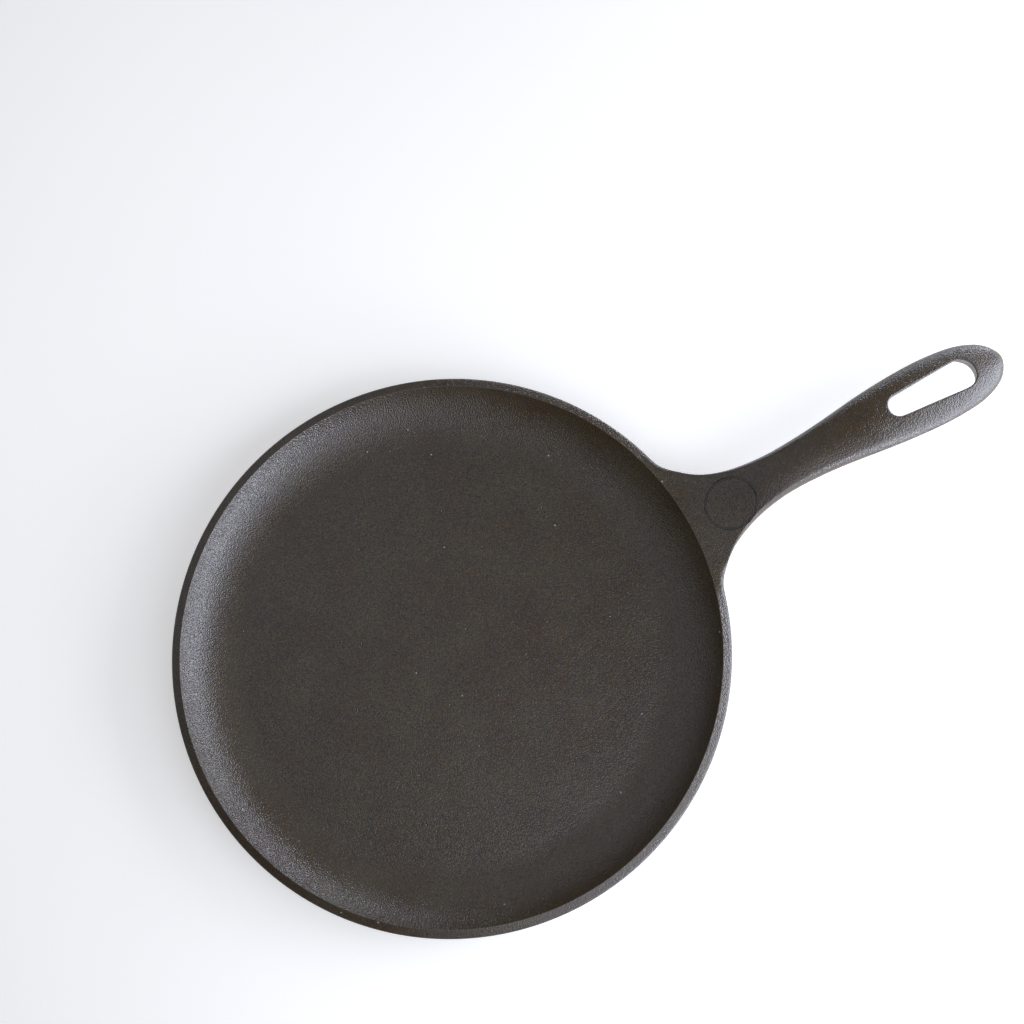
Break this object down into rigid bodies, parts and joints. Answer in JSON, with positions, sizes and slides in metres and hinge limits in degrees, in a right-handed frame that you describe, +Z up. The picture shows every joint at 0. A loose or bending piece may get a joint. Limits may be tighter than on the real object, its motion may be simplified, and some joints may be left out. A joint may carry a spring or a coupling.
{
  "type": "comal",
  "caption": "Round cast-iron griddle with a flat cooking face, a low curved wall and a long arched handle that ends in a pierced hanging loop.",
  "frame": {"origin": "centre of the flat underside, on the surface that the pan stands on", "axes": "+X from the pan's centre to the handle's tip, +Y across the handle to its left, +Z up"},
  "size_m": [0.4323, 0.2666, 0.0389],
  "materials": {
    "seasoned_iron": "sand-cast, oil-seasoned, semi-matt"
  },
  "bodies": {
    "root": {"cooking_plate": "seasoned_iron", "rim_wall": "seasoned_iron", "handle_neck": "seasoned_iron", "handle_grip": "seasoned_iron", "hanging_loop": "seasoned_iron"}
  },
  "joints": []
}
